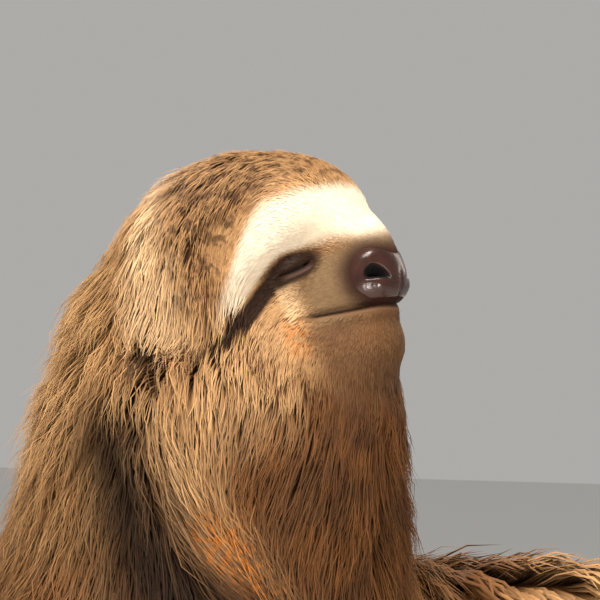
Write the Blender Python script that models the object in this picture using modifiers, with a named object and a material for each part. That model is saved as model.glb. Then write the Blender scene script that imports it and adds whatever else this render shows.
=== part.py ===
"""A three-toed sloth at life size, as a still model that sits upright on the floor.

Units are metres and +Z is up. The sloth faces -Y and its left side is +X. The origin is on the
floor, under the middle of the model. All outlines are those of the coat, out to the hair tips.
"""

import math

import bmesh
import bpy
from mathutils import Matrix, Vector

MM = 0.001

# Whole animal
SEAM = 0.36 * MM  # gap left between neighbouring pieces
LIMB_GAP = 0.6 * MM  # and where a limb's end follows the shape of the trunk
BODY_VOXEL, HEAD_VOXEL = 3.2 * MM, 2.0 * MM
AXIS_TRIANGLES, ARM_TRIANGLES, LEG_TRIANGLES, TAIL_TRIANGLES = 2300, 300, 300, 70
FLOOR_THICKNESS = 60 * MM
WELD = 0.01 * MM  # vertices closer than this are one
CUT_REACH = 1.7  # radius of the disc that parts a limb, as a share of the limb's own
SPINE_CUT_RADIUS = 180 * MM

# Head: its own frame is x forward, y left, z up, from the middle of the skull
HEAD_FORWARD, HEAD_UP = 28.6, 382.5  # of that middle, in millimetres from the seat
HEAD_PITCH = math.radians(26)  # chin raised
SKULL_SPOT, SKULL_RADII = (5.8, 0, -1), (46.5, 47, 47)
MUZZLE_SPOT, MUZZLE_RADII = (28, 0, -14), (22.5, 18, 13.5)
CHIN_SPOT, CHIN_RADII = (21, 0, -29), (25.5, 19, 14)
EYE_SPOT, EYE_RADIUS = (28.5, 17.0, -3.5), 6.2
EAR_SPOT, EAR_RADII = (-8.0, 50.0, -18.5), (7.0, 5.0, 9.0)
HOLLOW_TURN = math.radians(-40)  # the flat sides of the face run back and out at this angle
FACE_HOLLOWS = (  # each with its middle, radii and tilt: one round the eye, one by the mouth corner
    ((31.0, 31.5, -8.0), (31.0, 10.0, 12.0), math.radians(-20)),
    ((33.0, 33.5, -25.0), (27.0, 10.0, 14.0), math.radians(-12)),
)
NOSE_SPOT, NOSE_RADII = (46.5, 0.0, -14.8), (7.4, 11.0, 8.4)
NOSTRIL_SPOT, NOSTRIL_RADII = (52.0, 4.9, -16.0), (5.0, 2.1, 2.1)
MOUTH_MIDDLE, MOUTH_SPAN = (22.0, -24.3), (23.5, 19.0)  # forward and up, then its half-axes
MOUTH_RISE, MOUTH_DEPTH, LIP_GAP = 5.0, 2.5, 0.9

# Trunk and neck: forward, up and coat radius at each station, from the seat to the skull
SPINE = (
    (-2, -6, 36),
    (-3, 8, 58),
    (-4, 36, 82),
    (-4, 74, 95),
    (-2, 120, 97),
    (-5, 172, 92),
    (-2, 222, 83),
    (5, 260, 76),
    (12, 294, 70.5),
    (17.5, 324, 64.5),
    (22, 354, 56),
    (22, 374, 48.5),
    (24, 394, 36),
    (25, 402, 30),
)

SHOULDER_MASS = (44, 2, 262), (40, 46, 50)  # where it is, then its radii: left, forward, up

# Limbs: left, forward, up and coat radius, from the root to the knuckles
LEFT_ARM = (
    (36, -4, 268, 38),
    (56, 34, 273, 34),
    (70, 86, 278, 29),
    (78, 140, 276, 27),
    (54, 192, 250, 25),
    (26, 232, 212, 19),
    (12, 254, 176, 16),
)
RIGHT_ARM = (
    (-34, 0, 278, 38),
    (-68, 16, 250, 33),
    (-98, 30, 212, 29),
    (-122, 42, 168, 27),
    (-134, 60, 112, 25),
    (-140, 80, 56, 20),
    (-141, 98, 26, 18),
    (-142, 126, 16, 17),
)
LEG = (
    (42, 20, 62, 54),
    (58, 66, 74, 46),
    (74, 112, 88, 34),
    (70, 148, 64, 27),
    (61, 184, 32, 21),
    (54, 228, 16, 17),
)
TAIL = ((0, -78, 34, 22), (0, -98, 22, 18), (0, -112, 16, 13))

# Where each limb is parted: the share of the way along its stations
LEFT_ARM_CUTS = {"elbow": 3.0, "wrist": 5.0}
RIGHT_ARM_CUTS = {"elbow": 3.0, "wrist": 5.2}
LEG_CUTS = {"knee": 2.0, "ankle": 4.0}
SPINE_CUTS = {  # forward, up and forward lean of each cut across the spine
    "waist": (0, 118, 0.0),
    "ribs": (4, 214, 0.0),
    "neck_base": (13, 297, 0.08),
    "throat": (16, 346, 0.30),
}

# Claws: three to a hand or foot
CLAW_SIDES, CLAW_STEPS = 6, 7
CLAW_SPREAD = 9.5  # between neighbouring claws
CLAW_ROOT = 12.0  # sunk in the hand or foot
CLAW_FORWARD = 0.45  # from a limb's last station to its claws, as a share of its radius there
CLAW_TAPER, TAPER_BEND = 0.78, 1.6  # share of its radius that a claw loses, and how late
CLAWS = {  # length, radius and how far each curls, with its heading and the way it bends
    "hand_left": (64, 4.4, 1.3, (-0.2, 0.25, -1), (0, -1, -0.2)),
    "hand_right": (60, 4.4, 0.85, (0, 1, 0.3), (0, 0, -1)),
    "foot_left": (50, 4.2, 0.75, (-0.1, 1, 0.12), (0, 0, -1)),
    "foot_right": (50, 4.2, 0.75, (0.1, 1, 0.12), (0, 0, -1)),
}

COLOURS = {
    "coat_brown": (0.36, 0.23, 0.13, 1),
    "coat_pale": (0.62, 0.48, 0.33, 1),
    "nose_skin": (0.05, 0.03, 0.028, 1),
    "eye_dark": (0.02, 0.012, 0.01, 1),
    "ear_skin": (0.10, 0.065, 0.05, 1),
    "claw_horn": (0.42, 0.34, 0.22, 1),
}
ROUGHNESS = {"nose_skin": 0.3, "eye_dark": 0.1, "claw_horn": 0.4}


def spot(left, forward, up):
    """A place on the sloth, from millimetres to its left, forward and up."""
    return Vector((left, -forward, up)) * MM


def head_frame():
    """Carries the head's own frame to the sloth's."""
    facing = Matrix.Rotation(math.radians(-90), 4, "Z")
    raised = Matrix.Rotation(-HEAD_PITCH, 4, "Y")
    return Matrix.Translation(spot(0, HEAD_FORWARD, HEAD_UP)) @ facing @ raised


def on_head(x, y, z):
    return head_frame() @ (Vector((x, y, z)) * MM)


def material(name):
    made = bpy.data.materials.get(name)
    if made is None:
        made = bpy.data.materials.new(name)
        made.use_nodes = True
        made.diffuse_color = COLOURS[name]
        shader = made.node_tree.nodes["Principled BSDF"]
        shader.inputs["Base Color"].default_value = COLOURS[name]
        shader.inputs["Roughness"].default_value = ROUGHNESS.get(name, 0.85)
    return made


def collection(name):
    made = bpy.data.collections.new(name)
    bpy.context.scene.collection.children.link(made)
    return made


def add(name, mesh, into):
    obj = bpy.data.objects.new(name, mesh)
    into.objects.link(obj)
    return obj


def settled(obj):
    """The object's mesh as its modifiers leave it, in place of the modifiers."""
    bpy.context.view_layer.update()
    graph = bpy.context.evaluated_depsgraph_get()
    mesh = bpy.data.meshes.new_from_object(obj.evaluated_get(graph))
    mesh.transform(obj.matrix_world)
    name, into = obj.name, obj.users_collection[0]
    bpy.data.objects.remove(obj)
    weld = bmesh.new()
    weld.from_mesh(mesh)
    bmesh.ops.remove_doubles(weld, verts=weld.verts, dist=WELD)
    weld.to_mesh(mesh)
    weld.free()
    return add(name, mesh, into)


def tapered(name, stations, into, sides=24):
    """A tube along (left, forward, up, radius) stations, as a smooth curve with a radius of its own."""
    data = bpy.data.curves.new(name, "CURVE")
    data.dimensions = "3D"
    data.bevel_depth = 1.0
    data.bevel_resolution = sides // 2 - 2
    data.resolution_u = 6
    data.use_fill_caps = True
    spline = data.splines.new("BEZIER")
    spline.bezier_points.add(len(stations) - 1)
    for point, (left, forward, up, radius) in zip(spline.bezier_points, stations):
        point.co = spot(left, forward, up)
        point.radius = radius * MM
        point.handle_left_type = point.handle_right_type = "AUTO"
    return settled(add(name, data, into))


def ball(name, centre, radii, into, turn=None, segments=32):
    """An ellipsoid with its middle at a point in space, its radii in millimetres."""
    mesh = bpy.data.meshes.new(name)
    made = bmesh.new()
    bmesh.ops.create_uvsphere(made, u_segments=segments, v_segments=segments // 2, radius=1.0)
    made.to_mesh(mesh)
    made.free()
    mesh.transform(Matrix.Diagonal(Vector(radii) * MM).to_4x4())
    obj = add(name, mesh, into)
    obj.matrix_world = Matrix.Translation(centre) @ (turn or Matrix.Identity(4))
    return obj


def head_ball(name, at, radii, into, segments=32, turn=None):
    turn = head_frame().to_3x3().to_4x4() @ (turn or Matrix.Identity(4))
    return ball(name, on_head(*at), radii, into, turn, segments)


def grown(name, obj, by, into):
    """A copy of a mesh object, larger by a distance along its normals."""
    copy = add(name, obj.data.copy(), into)
    copy.matrix_world = obj.matrix_world
    swell = copy.modifiers.new("Swell", "DISPLACE")
    swell.mid_level = 0.0
    swell.strength = by
    return as_cutter(settled(copy))


def as_cutter(obj):
    obj.hide_render = True
    obj.display_type = "WIRE"
    return obj


def cut(obj, cutter, operation="DIFFERENCE"):
    boolean = obj.modifiers.new("Cut", "BOOLEAN")
    boolean.operation = operation
    boolean.object = cutter
    boolean.solver = "EXACT"
    return settled(obj)


def fused(name, parts, voxel, smoothing, triangles, into):
    """One skin round several closed shapes, smoothed where they meet."""
    whole = bmesh.new()
    for part in parts:
        mesh = part.data.copy()
        mesh.transform(part.matrix_world)
        whole.from_mesh(mesh)
        bpy.data.objects.remove(part)
    mesh = bpy.data.meshes.new(name)
    whole.to_mesh(mesh)
    whole.free()
    obj = add(name, mesh, into)
    remesh = obj.modifiers.new("Fuse", "REMESH")
    remesh.mode = "VOXEL"
    remesh.voxel_size = voxel
    smooth = obj.modifiers.new("Soften", "SMOOTH")
    smooth.factor = 0.5
    smooth.iterations = smoothing
    obj = settled(obj)
    thin = obj.modifiers.new("Thin", "DECIMATE")
    thin.ratio = triangles / (2 * len(obj.data.polygons))
    return settled(obj)


def slab(name, centre, normal, radius, into):
    """A thin disc across a limb or the spine, which parts it."""
    mesh = bpy.data.meshes.new(name)
    made = bmesh.new()
    bmesh.ops.create_cone(
        made, cap_ends=True, segments=24, radius1=radius, radius2=radius, depth=SEAM
    )
    made.to_mesh(mesh)
    made.free()
    obj = add(name, mesh, into)
    aim = normal.normalized().to_track_quat("Z", "Y").to_matrix().to_4x4()
    obj.matrix_world = Matrix.Translation(centre) @ aim
    return as_cutter(obj)


def floor_block(into):
    """What the sloth sinks into a little, so that it rests on small flats at one level."""
    mesh = bpy.data.meshes.new("floor_block")
    made = bmesh.new()
    bmesh.ops.create_cube(made, size=1.2)
    made.to_mesh(mesh)
    made.free()
    mesh.transform(Matrix.Diagonal((1, 1, FLOOR_THICKNESS / 1.2, 1)))
    obj = add("floor_block", mesh, into)
    obj.location.z = -FLOOR_THICKNESS / 2
    return as_cutter(obj)


def parted(obj, labels, into):
    """The object's loose bodies as objects of their own, each named by the label nearest its middle.
    A crumb that a cut left is dropped."""
    work = bmesh.new()
    work.from_mesh(obj.data)
    left, bodies = set(work.verts), []
    while left:
        body, edge = set(), [next(iter(left))]
        while edge:
            vert = edge.pop()
            if vert not in body:
                body.add(vert)
                edge += [e.other_vert(vert) for e in vert.link_edges]
        left -= body
        bodies.append(body)
    bodies.sort(key=len, reverse=True)
    bpy.data.objects.remove(obj)
    made = []
    for body in bodies[: len(labels)]:
        index = {vert: i for i, vert in enumerate(sorted(body, key=lambda v: v.index))}
        faces = {face for vert in body for face in vert.link_faces}
        middle = sum((vert.co for vert in body), Vector()) / len(body)
        name = min(labels, key=lambda n: (labels[n] - middle).length)
        mesh = bpy.data.meshes.new(name)
        rows = [[index[v] for v in f.verts] for f in sorted(faces, key=lambda f: f.index)]
        mesh.from_pydata([vert.co for vert in index], [], rows)
        made.append(add(name, mesh, into))
    work.free()
    return made


def along(stations, share):
    """Place, direction and coat radius at a share of the way along a limb's stations."""
    step = min(int(share), len(stations) - 2)
    start, end = stations[step], stations[step + 1]
    t = share - step
    mid = [a + (b - a) * t for a, b in zip(start, end)]
    before, after = stations[max(step - (t == 0), 0)], end
    heading = spot(*after[:3]) - spot(*before[:3])
    return spot(*mid[:3]), heading.normalized(), mid[3] * MM


def mirrored(stations):
    return tuple((-left, forward, up, radius) for left, forward, up, radius in stations)


def make_axis(helpers):
    """Head, neck and trunk as one skin."""
    parts = [tapered("spine", [(0, *station) for station in SPINE], helpers, sides=48)]
    (left, forward, up), radii = SHOULDER_MASS
    for side in (-1, 1):
        parts.append(ball("shoulder_mass", spot(left * side, forward, up), radii, helpers))
    skull = head_ball("skull", SKULL_SPOT, SKULL_RADII, helpers, 48)
    for (x, y, z), radii, tilt in FACE_HOLLOWS:
        for side in (-1, 1):
            turn = Matrix.Rotation(HOLLOW_TURN * side, 4, "Z") @ Matrix.Rotation(tilt, 4, "Y")
            hollow = head_ball("face_hollow", (x, y * side, z), radii, helpers, turn=turn)
            skull = cut(skull, as_cutter(hollow))
    parts.append(skull)
    parts.append(head_ball("muzzle", MUZZLE_SPOT, MUZZLE_RADII, helpers))
    parts.append(head_ball("chin", CHIN_SPOT, CHIN_RADII, helpers))
    return fused("axis", parts, HEAD_VOXEL, 8, AXIS_TRIANGLES, helpers)


def make_limb(name, stations, triangles, axis, floor, helpers):
    """A limb as one skin, ending where it meets the trunk."""
    left, forward, up, radius = stations[-1]
    tip = ball(name + "_tip", spot(left, forward, up), [radius] * 3, helpers, segments=24)
    tube = tapered(name + "_tube", stations, helpers)
    limb = fused(name + "_whole", [tube, tip], BODY_VOXEL, 4, triangles, helpers)
    return cut(cut(limb, axis), floor)


def claw_curve(name, root, heading, bend, into, length, radius, curl, extra=0.0):
    """A claw: a tapered horn along an arc that curls from its heading towards bend."""
    data = bpy.data.curves.new(name, "CURVE")
    data.dimensions = "3D"
    data.bevel_depth = 1.0
    data.bevel_resolution = CLAW_SIDES // 2 - 2
    data.use_fill_caps = True
    spline = data.splines.new("POLY")
    spline.points.add(CLAW_STEPS - 1)
    step = (length + CLAW_ROOT) * MM / (CLAW_STEPS - 1)
    place = root - heading * CLAW_ROOT * MM
    for i, point in enumerate(spline.points):
        t = i / (CLAW_STEPS - 1)
        point.co = (*place, 1)
        point.radius = radius * MM * (1 - CLAW_TAPER * t**TAPER_BEND) + extra
        turn = curl * t
        place = place + (heading * math.cos(turn) + bend * math.sin(turn)) * step
    return settled(add(name, data, into))


def make_claws(name, stations, paw, sloth, helpers):
    """Three claws side by side, each in a socket in the end of the hand or foot."""
    length, radius, curl, heading, bend = CLAWS[name]
    heading, bend = spot(*heading).normalized(), spot(*bend).normalized()
    bend = (bend - heading * bend.dot(heading)).normalized()
    across = heading.cross(bend)
    left, forward, up, thickness = stations[-1]
    root = spot(left, forward, up) + heading * thickness * CLAW_FORWARD * MM
    for i in range(3):
        start = root + across * (i - 1) * CLAW_SPREAD * MM
        shape = (start, heading, bend)
        label = f"{name}_claw_{i + 1}"
        claw = claw_curve(label, *shape, sloth, length, radius, curl)
        claw.data.materials.append(material("claw_horn"))
        hole = claw_curve(label + "_socket", *shape, helpers, length, radius, curl, SEAM)
        paw = cut(paw, as_cutter(hole))


def make_limb_pieces(name, stations, cuts, pieces, triangles, cutters, sloth, helpers):
    """A limb parted at its joints, with three claws in its last piece.

    pieces names each piece from the root, with the share along the stations where its middle is.
    """
    limb = make_limb(name, stations, triangles, *cutters, helpers)
    for joint, share in cuts.items():
        place, heading, radius = along(stations, share)
        limb = cut(limb, slab(f"{name}_{joint}", place, heading, radius * CUT_REACH, helpers))
    labels = {piece: along(stations, share)[0] for piece, share in pieces.items()}
    made = {piece.name: piece for piece in parted(limb, labels, sloth)}
    end = list(pieces)[-1]
    make_claws(end, stations, made[end], sloth, helpers)


def make_limbs(axis, floor, sloth, helpers):
    cutters = (axis, floor)
    arms = {"left": (LEFT_ARM, LEFT_ARM_CUTS), "right": (RIGHT_ARM, RIGHT_ARM_CUTS)}
    for side, (stations, cuts) in arms.items():
        pieces = {f"upper_arm_{side}": 1.9, f"forearm_{side}": 4.0, f"hand_{side}": 5.6}
        make_limb_pieces(f"arm_{side}", stations, cuts, pieces, ARM_TRIANGLES, cutters, sloth, helpers)
    for side, stations in {"left": LEG, "right": mirrored(LEG)}.items():
        pieces = {f"thigh_{side}": 1.2, f"shin_{side}": 3.0, f"foot_{side}": 4.6}
        make_limb_pieces(f"leg_{side}", stations, LEG_CUTS, pieces, LEG_TRIANGLES, cutters, sloth, helpers)
    tail = make_limb("tail", TAIL, TAIL_TRIANGLES, *cutters, helpers)
    parted(tail, {"tail": spot(*TAIL[1][:3])}, sloth)


def mouth_blade(helpers):
    """Cuts the line between the closed lips, which rises to the corners as if in a smile."""
    made = bmesh.new()
    steps = 15
    rows = []
    for i in range(steps):
        angle = math.pi * (i / (steps - 1) - 0.5)
        rise = MOUTH_RISE * abs(math.sin(angle)) ** 3
        row = []
        for reach, lip in ((-3, -1), (2, -1), (2, 1), (-3, 1)):
            x = MOUTH_MIDDLE[0] + (MOUTH_SPAN[0] + reach * MOUTH_DEPTH) * math.cos(angle)
            y = (MOUTH_SPAN[1] + reach * MOUTH_DEPTH) * math.sin(angle)
            row.append(made.verts.new(on_head(x, y, MOUTH_MIDDLE[1] + rise + lip * LIP_GAP / 2)))
        rows.append(row)
    for low, high in zip(rows, rows[1:]):
        for k in range(4):
            made.faces.new((low[k], low[k - 1], high[k - 1], high[k]))
    made.faces.new(rows[0])
    made.faces.new(rows[-1][::-1])
    bmesh.ops.recalc_face_normals(made, faces=made.faces)
    mesh = bpy.data.meshes.new("mouth_blade")
    made.to_mesh(mesh)
    made.free()
    return as_cutter(add("mouth_blade", mesh, helpers))


def make_face(axis, sloth, helpers):
    """Eyes, ears and nose, each in its own hollow of the head. Returns the head with the hollows."""
    for side, name in ((1, "left"), (-1, "right")):
        x, y, z = EYE_SPOT
        eye = head_ball(f"eye_{name}", (x, y * side, z), [EYE_RADIUS] * 3, sloth, 14)
        eye.data.materials.append(material("eye_dark"))
        x, y, z = EAR_SPOT
        ear = head_ball(f"ear_{name}", (x, y * side, z), EAR_RADII, sloth, 10)
        ear.data.materials.append(material("ear_skin"))
        for piece in (eye, ear):
            axis = cut(axis, grown(piece.name + "_hollow", piece, SEAM, helpers))
    nose = head_ball("nose", NOSE_SPOT, NOSE_RADII, sloth, 16)
    hollow = grown("nose_hollow", nose, SEAM, helpers)
    for side in (1, -1):
        x, y, z = NOSTRIL_SPOT
        nostril = head_ball("nostril", (x, y * side, z), NOSTRIL_RADII, helpers, 8)
        nose = cut(nose, as_cutter(nostril))
    nose.data.materials.append(material("nose_skin"))
    return cut(cut(axis, hollow), mouth_blade(helpers))


def main():
    for obj in list(bpy.data.objects):
        bpy.data.objects.remove(obj)
    sloth, helpers = collection("three_toed_sloth"), collection("helpers")
    axis = make_axis(helpers)
    around_axis = grown("around_axis", axis, LIMB_GAP, helpers)
    floor = floor_block(helpers)
    make_limbs(around_axis, floor, sloth, helpers)
    axis = make_face(cut(axis, floor), sloth, helpers)
    for name, (forward, up, lean) in SPINE_CUTS.items():
        across = slab(name, spot(0, forward, up), spot(0, lean, 1), SPINE_CUT_RADIUS, helpers)
        axis = cut(axis, across)
    labels = {
        "hips": spot(0, 0, 60),
        "belly": spot(0, 2, 165),
        "chest": spot(0, 8, 255),
        "neck": spot(0, 15, 322),
        "head": spot(0, HEAD_FORWARD, HEAD_UP),
    }
    parted(axis, labels, sloth)
    for obj in sloth.objects:
        if not obj.data.materials:
            pale = obj.name == "head"
            obj.data.materials.append(material("coat_pale" if pale else "coat_brown"))
        obj.data.shade_smooth()
        obj.data.set_sharp_from_angle(angle=math.radians(40))
    centre(sloth)


def centre(sloth):
    """Moves the origin to the floor under the middle of the model's box."""
    bpy.context.view_layer.update()
    places = [obj.matrix_world @ v.co for obj in sloth.objects for v in obj.data.vertices]
    middle = Vector(
        [(min(p[k] for p in places) + max(p[k] for p in places)) / 2 for k in (0, 1)] + [0]
    )
    for obj in sloth.objects:
        obj.matrix_world = Matrix.Translation(-middle) @ obj.matrix_world


main()
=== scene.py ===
"""Looks of a seated three-toed sloth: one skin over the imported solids, and a coat of solid mesh hair.

Places on the head are in millimetres in the head's own frame, x forward, y left and z up from
the middle of the skull. Other places are in metres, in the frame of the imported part, except where
a comment says millimetres.
"""

import math
from dataclasses import dataclass

import bmesh
import bpy
import numpy as np
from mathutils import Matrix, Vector
from mathutils.bvhtree import BVHTree
from mathutils.kdtree import KDTree


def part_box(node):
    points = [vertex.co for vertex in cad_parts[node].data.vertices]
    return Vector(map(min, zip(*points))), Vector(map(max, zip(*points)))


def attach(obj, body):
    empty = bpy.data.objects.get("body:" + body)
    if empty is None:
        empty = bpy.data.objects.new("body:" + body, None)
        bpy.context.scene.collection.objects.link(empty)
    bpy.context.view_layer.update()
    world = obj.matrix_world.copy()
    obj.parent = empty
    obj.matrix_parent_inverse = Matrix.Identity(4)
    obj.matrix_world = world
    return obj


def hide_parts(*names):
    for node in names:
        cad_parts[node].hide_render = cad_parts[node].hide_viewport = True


MM = 0.001
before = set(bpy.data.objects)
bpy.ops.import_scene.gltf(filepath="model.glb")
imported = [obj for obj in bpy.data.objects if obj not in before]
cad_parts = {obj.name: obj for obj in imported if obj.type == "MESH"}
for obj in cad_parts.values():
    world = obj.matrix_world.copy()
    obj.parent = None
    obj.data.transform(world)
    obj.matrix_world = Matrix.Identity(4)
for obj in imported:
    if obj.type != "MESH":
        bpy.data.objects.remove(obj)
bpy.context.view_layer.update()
random = np.random.default_rng(11)

FLESH = (
    "head neck chest belly hips tail ear_left ear_right "
    "upper_arm_left forearm_left hand_left upper_arm_right forearm_right hand_right "
    "thigh_left shin_left foot_left thigh_right shin_right foot_right"
).split()
CLAWS = [
    f"{paw}_{side}_claw_{i}" for paw in ("hand", "foot") for side in ("left", "right") for i in (1, 2, 3)
]

# ---- the head's own frame

HEAD_PITCH = math.radians(26)  # chin raised
EYE = np.array((28.5, 17.0, -3.5))
EYE_RADIUS = 6.2
NOSE = np.array((45.6, 0.0, -13.2))
NOSE_RADII = np.array((8.7, 10.9, 8.8))
NOSE_TIP = np.array((54, 0, -17.9))
MUZZLE_FRONT = (46, 0, -10)  # the coat grows longer with the distance from here


def middle(node):
    low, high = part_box(node)
    return (np.array(low) + np.array(high)) / 2


HEAD_AXES = np.array(
    (
        (0, -math.cos(HEAD_PITCH), math.sin(HEAD_PITCH)),
        (1, 0, 0),
        (0, math.sin(HEAD_PITCH), math.cos(HEAD_PITCH)),
    )
).T
HEAD_MIDDLE = (middle("eye_left") + middle("eye_right")) / 2 - HEAD_AXES @ (EYE * (1, 0, 1)) * MM


def to_head(points):
    return (points - HEAD_MIDDLE) @ HEAD_AXES / MM


def from_head(local):
    return HEAD_MIDDLE + np.asarray(local) @ HEAD_AXES.T * MM


def one_side(local):
    """Both halves of the head folded onto its left one."""
    return local * (1, 0, 1) + np.abs(local) * (0, 1, 0)


# ---- small helpers


def unit(vectors):
    return vectors / np.maximum(np.linalg.norm(vectors, axis=-1, keepdims=True), 1e-12)


def ramp(low, high, values):
    """0 below low, 1 above high, smooth between; low may be the larger."""
    t = np.clip((values - low) / (high - low), 0, 1)
    return t * t * (3 - 2 * t)


def bump(centre, width, values):
    return np.exp(-(((values - centre) / width) ** 2))


def mix(a, b, share):
    return a + (b - a) * share


def smooth_min(a, b, k):
    """The lower of two distances, blended where they are less than k apart."""
    h = np.maximum(k - np.abs(a - b), 0) / k
    return np.minimum(a, b) - h * h * k / 4


def smooth_max(a, b, k):
    return -smooth_min(-a, -b, k)


def turn_about(axis, degrees):
    angle = math.radians(degrees)
    c, s = math.cos(angle), math.sin(angle)
    if axis == "z":
        return np.array(((c, -s, 0), (s, c, 0), (0, 0, 1)))
    return np.array(((c, 0, s), (0, 1, 0), (-s, 0, c)))


def ellipsoid(points, centre, radii, turn=None):
    """Rough distance to an ellipsoid, below zero inside it; turn has its axes as columns."""
    offset = points - np.array(centre)
    if turn is not None:
        offset = offset @ turn
    radii = np.array(radii)
    near = np.linalg.norm(offset / radii, axis=1)
    slope = np.linalg.norm(offset / radii**2, axis=1)
    return near * (near - 1) / np.maximum(slope, 1e-9)


def new_mesh(name, verts, faces):
    """A smooth mesh from numpy arrays of points and of triangles."""
    mesh = bpy.data.meshes.new(name)
    mesh.vertices.add(len(verts))
    mesh.vertices.foreach_set("co", np.ascontiguousarray(verts, np.float32).ravel())
    mesh.loops.add(faces.size)
    mesh.loops.foreach_set("vertex_index", np.ascontiguousarray(faces, np.int32).ravel())
    mesh.polygons.add(len(faces))
    mesh.polygons.foreach_set("loop_start", np.arange(0, faces.size, 3, dtype=np.int32))
    mesh.polygons.foreach_set("use_smooth", np.ones(len(faces), bool))
    mesh.update(calc_edges=True)
    return mesh


def built(name, make):
    """A mesh as make fills it in, which is given an empty one to work on."""
    work = bmesh.new()
    make(work)
    mesh = bpy.data.meshes.new(name)
    work.to_mesh(mesh)
    work.free()
    return mesh


def joined(name, meshes):
    """One mesh of several."""

    def make(work):
        for mesh in meshes:
            work.from_mesh(mesh)

    return built(name, make)


def add(name, data):
    obj = bpy.data.objects.new(name, data)
    bpy.context.scene.collection.objects.link(obj)
    return obj


def read(items, key, size, kind=np.float32):
    """One property of all the items of a mesh, size numbers each."""
    out = np.empty(len(items) * size, kind)
    items.foreach_get(key, out)
    return out.reshape(-1, size)


def points_of(mesh):
    return read(mesh.vertices, "co", 3).astype(float)


def normals_of(mesh):
    return read(mesh.vertex_normals, "vector", 3).astype(float)


def set_points(mesh, points):
    mesh.vertices.foreach_set("co", points.astype(np.float32).ravel())
    mesh.update()


def settled(obj):
    """The object with its modifiers applied."""
    bpy.context.view_layer.update()
    graph = bpy.context.evaluated_depsgraph_get()
    mesh = bpy.data.meshes.new_from_object(obj.evaluated_get(graph))
    name = obj.name
    bpy.data.objects.remove(obj)
    return add(name, mesh)


def set_field(mesh, name, values):
    """Keeps numbers with the vertices, one or four each, for the materials to read."""
    kind = "FLOAT" if values.ndim == 1 else "FLOAT_COLOR"
    layer = mesh.attributes.new(name, kind, "POINT")
    key = "value" if values.ndim == 1 else "color"
    layer.data.foreach_set(key, np.ascontiguousarray(values, np.float32).ravel())


# ---- skin

SKIN_VOXEL = 3.0 * MM
TRUNK_COAT = 15 * MM  # the thickest coat between the skin and the outline
MUZZLE_COAT = 4.5 * MM
FACE_INSET = 4 * MM  # drawn in further here, and then covered by the sculpted face
COAT_SHARE = 0.2  # of a limb's thickness that is coat
LID = 1.0  # thickness of an eyelid
NOSTRIL_DEPTH = 6.5
SLIT_LENGTH, SLIT_HEIGHT, SLIT_TILT = 6.4, 0.34, 9  # half-sizes of the gap between the lids, degrees
SLIT_EDGE = 0.12  # how softly the lids end at the gap
EYE_HOLLOW = 1.6  # how far behind the eye's surface the skin goes on
LID_OUT = unit(np.array((0.65, 0.75, 0.06)))
FACE_CENTRE = np.array((12, 0, -8))
FACE_REACH = 70  # further than any of the face from its centre
NOSE_CORE = NOSE - (5, 0, 0)  # the nose pad is shaped as it is seen from here
NOSE_REACH = 15


def eye_axes():
    """Along the lids towards the nose, up across them, and out of the eye."""
    along = unit(np.array((LID_OUT[1], -LID_OUT[0], 0)))
    up = np.cross(along, LID_OUT)
    tilt = math.radians(SLIT_TILT)
    along = along * math.cos(tilt) + up * math.sin(tilt)
    return np.array((along, np.cross(along, LID_OUT), LID_OUT)).T


EYE_AXES = eye_axes()
LIDS = EYE + EYE_AXES @ (1.3, -0.5, 0)  # where the gap between the lids has its middle


def mouth_height(y):
    """Height of the line between the lips, which rises to the corners."""
    return -23.1 + 3.8 * np.clip(np.abs(y) / 18.5, 0, 1.3) ** 1.6


def above_mouth(p):
    return p[:, 2] - mouth_height(p[:, 1])


def from_nose(p):
    """1 on the nose's ellipsoid, more outside it."""
    return np.linalg.norm((p - NOSE) / NOSE_RADII, axis=1)


def nostril(local):
    """How deep in a nostril a place is, from 0 to 1, and how far along it."""
    x, y, z = (one_side(local) - NOSE).T
    along = (y - x) * 0.707 - 2.2
    across = z + 0.2 + 0.10 * along**2 - 0.28 * along
    hole = np.hypot(along / 3.9, across / 2.3)
    return ramp(1.15, 0.45, hole) * ramp(-1, 2, x), along


def leather(p):
    """How far a place belongs to the bare nose, from 0 to 1, given on one side of the head."""
    return ramp(1.42, 1.1, from_nose(p)) * ramp(0.3, 1.8, above_mouth(p))


# The ellipsoids that the face is built from: middle and half-sizes, and for some the degrees that
# they are turned about y and about z
FORMS = {
    "skull": ((2.5, 0, 1), (42, 41, 41)),
    "brow": ((14, 0, 9), (32.8, 35, 31.5)),
    "forehead": ((26, 0, 16.5), (18, 26, 12.8)),
    "eye_hollow": ((31.0, 31.5, -9.5), (32, 10.5, 9.5), -20, -40),
    "cheek_hollow": ((31.0, 32.0, -24.0), (29, 10.5, 15), -12, -40),
    "muzzle": ((26.2, 0, -14.5), (23.6, 18.8, 12.8)),
    "upper_lip": ((36.2, 0, -18.6), (12.7, 11.2, 6.6)),
    "chin": ((21.5, 0, -30.5), (23.8, 18.2, 13.2)),
    "lower_lip": ((33.8, 0, -27.5), (11.2, 12, 5.2)),
    "throat": ((8.0, 0.0, -45.0), (25, 30, 36), 26, 0),
    "bridge": ((36.0, 0, -4.5), (19.2, 9.8, 15.5)),
    "nose": (NOSE, NOSE_RADII - 0.5),
}


def form(p, name):
    """Distance to one of the face's ellipsoids."""
    centre, radii, *angles = FORMS[name]
    turn = turn_about("z", angles[1]) @ turn_about("y", angles[0]) if angles else None
    return ellipsoid(p, centre, radii, turn)


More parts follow.
